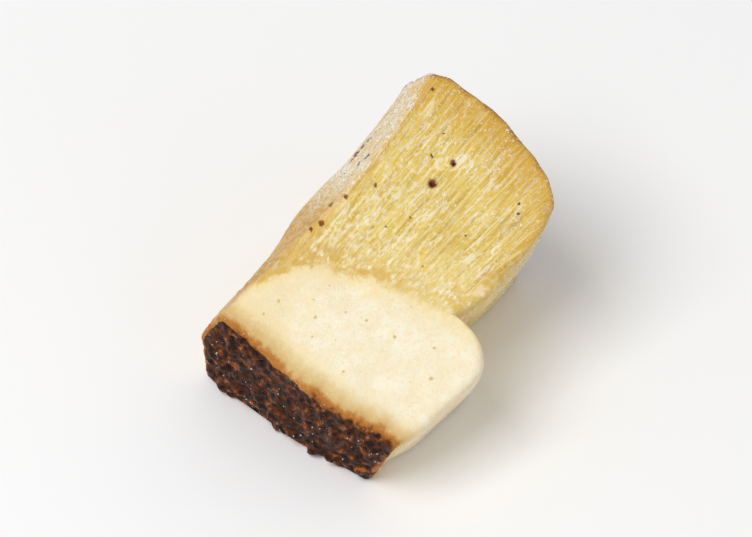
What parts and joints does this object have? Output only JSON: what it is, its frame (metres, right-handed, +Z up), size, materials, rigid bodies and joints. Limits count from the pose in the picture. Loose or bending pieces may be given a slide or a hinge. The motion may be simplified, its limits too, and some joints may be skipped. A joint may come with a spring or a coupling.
{
  "type": "porcini mushroom piece",
  "caption": "Diced frozen porcini cap piece: cream flesh with brown skin at one end and a ridged yellow tube layer with open pores at the other.",
  "frame": {"origin": "centre of the bounding box on the table, below the piece", "axes": "+Z up; +Y towards the high end of the sloping cut face; +X towards the pores' side"},
  "size_m": [0.0372, 0.0466, 0.0276],
  "materials": {
    "cap_flesh": "matte cut mushroom flesh, cream, with few ochre specks",
    "tube_layer": "matte ochre tube layer with pale streaks along the tubes",
    "cap_skin": "dark brown wrinkled cap skin with a slight gloss",
    "frost": "small white frost crystals"
  },
  "bodies": {
    "root": {"porcini_piece": "cap_flesh"}
  },
  "joints": []
}
